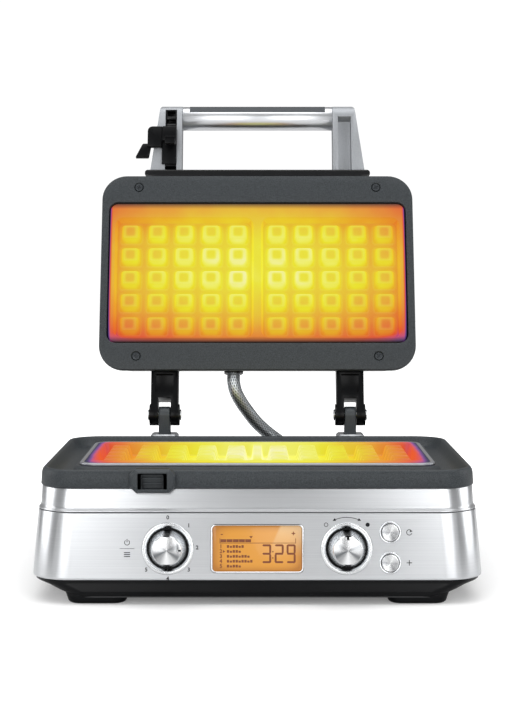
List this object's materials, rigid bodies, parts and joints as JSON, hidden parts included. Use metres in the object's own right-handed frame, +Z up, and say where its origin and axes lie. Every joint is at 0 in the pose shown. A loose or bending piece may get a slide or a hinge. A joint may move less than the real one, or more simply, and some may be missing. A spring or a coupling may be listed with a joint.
{
  "type": "waffle maker",
  "caption": "Counter-top two-slice square waffle maker with a hinged lid on a floating hinge, drip moat, steel housing, amber display, dials and buttons, lid open.",
  "frame": {"origin": "on the table under the middle of the appliance's box with the lid open", "axes": "+X to the user's right as they face the controls, -Y towards the user, +Z up"},
  "size_m": [0.3224, 0.3393, 0.3732],
  "materials": {
    "brushed_steel": "fine horizontal brushing",
    "cast_nonstick": "fine sandblasted non-stick coating",
    "waffle_plate": "coated casting shown with its heat colours",
    "black_plastic": "fine moulded grain",
    "black_trim": "smooth semi-gloss",
    "foot_rubber": "matt",
    "cast_silver": "satin die-cast",
    "hinge_grey": "fine powder coat",
    "hardware_steel": "plain steel",
    "element_sheath": "heat-darkened",
    "shield_sheet": "pressed sheet",
    "sensor_cream": "moulded",
    "display_amber": "backlit amber",
    "display_frame": "smooth",
    "circuit_board": "solder mask",
    "component_dark": "moulded",
    "transformer_tape": "wound and taped",
    "relay_blue": "moulded",
    "turned_aluminium": "turned and brushed",
    "steel_braid": "braided wire"
  },
  "bodies": {
    "base": {"base_cover": "black_plastic", "rubber_feet": "foot_rubber", "base_screws": "hardware_steel", "chassis": "black_plastic", "housing_wrap": "brushed_steel", "housing_band": "brushed_steel", "drip_tray": "cast_nonstick", "rear_deck": "black_plastic", "post_guides": "cast_silver", "lower_waffle_plate": "waffle_plate", "lower_heating_element": "element_sheath", "lower_heat_shield": "shield_sheet", "lower_thermostat": "sensor_cream", "latch_catch": "cast_nonstick", "display_bezel": "display_frame", "display_window": "display_amber", "display_module": "circuit_board", "control_board": "circuit_board", "power_board": "circuit_board", "transformer": "transformer_tape", "power_relay": "relay_blue", "buzzer": "component_dark", "menu_dial_bezel": "turned_aluminium", "browning_dial_bezel": "turned_aluminium", "menu_encoder": "component_dark", "browning_encoder": "component_dark", "button_rings": "turned_aluminium", "tact_switches": "component_dark", "upper_button_spring": "hardware_steel", "lower_button_spring": "hardware_steel", "cord_inlet": "black_plastic", "conduit_gland": "black_plastic", "conduit": "steel_braid"},
    "hinge_carriage": {"hinge_posts": "hinge_grey", "hinge_yoke": "hardware_steel"},
    "lid": {"lid_flange": "cast_nonstick", "upper_waffle_plate": "waffle_plate", "upper_heating_element": "element_sheath", "upper_heat_shield": "shield_sheet", "upper_thermostat": "sensor_cream", "lid_housing": "black_plastic", "lid_cover": "brushed_steel", "lid_trim": "black_trim", "lid_conduit_gland": "black_plastic", "left_hinge_arm": "black_plastic", "right_hinge_arm": "black_plastic", "hinge_pins": "hardware_steel", "flange_screws": "black_plastic", "left_handle_arm": "cast_silver", "right_handle_arm": "cast_silver", "handle_screws": "hardware_steel", "grip_tube": "brushed_steel", "latch_pin": "hardware_steel"},
    "latch": {"latch_lever": "black_plastic"},
    "menu_dial": {"menu_dial": "turned_aluminium", "menu_dial_shaft": "hardware_steel"},
    "browning_dial": {"browning_dial": "turned_aluminium", "browning_dial_shaft": "hardware_steel"},
    "restart_button": {"restart_button": "turned_aluminium"},
    "extra_time_button": {"extra_time_button": "turned_aluminium"}
  },
  "joints": [
    {"name": "hinge_float", "type": "slide", "parent": "base", "child": "hinge_carriage", "axis": [0, 0, 1], "range_m": [0, 0.005]},
    {"name": "lid_hinge", "type": "hinge", "parent": "hinge_carriage", "child": "lid", "pos_m": [0, 0.0737, 0.1105], "axis": [1, 0, 0], "range_deg": [0, 108], "deforming": ["conduit"]},
    {"name": "latch_turn", "type": "hinge", "parent": "lid", "child": "latch", "pos_m": [-0.075, 0.13788, 0.32097], "axis": [1, 0, 0], "range_deg": [0, 11]},
    {"name": "menu_dial_turn", "type": "hinge", "parent": "base", "child": "menu_dial", "pos_m": [-0.063, -0.15352, 0.0396], "axis": [0, -0.9962, 0.0872], "range_deg": [-135, 90]},
    {"name": "browning_dial_turn", "type": "hinge", "parent": "base", "child": "browning_dial", "pos_m": [0.063, -0.15352, 0.0396], "axis": [0, -0.9962, 0.0872], "continuous": true},
    {"name": "restart_button_press", "type": "slide", "parent": "base", "child": "restart_button", "axis": [0, 0.9962, -0.0872], "range_m": [0, 0.0015], "stiffness_N_per_m": 400, "springref_m": -0.001, "deforming": ["upper_button_spring"]},
    {"name": "extra_time_button_press", "type": "slide", "parent": "base", "child": "extra_time_button", "axis": [0, 0.9962, -0.0872], "range_m": [0, 0.0015], "stiffness_N_per_m": 400, "springref_m": -0.001, "deforming": ["lower_button_spring"]}
  ]
}
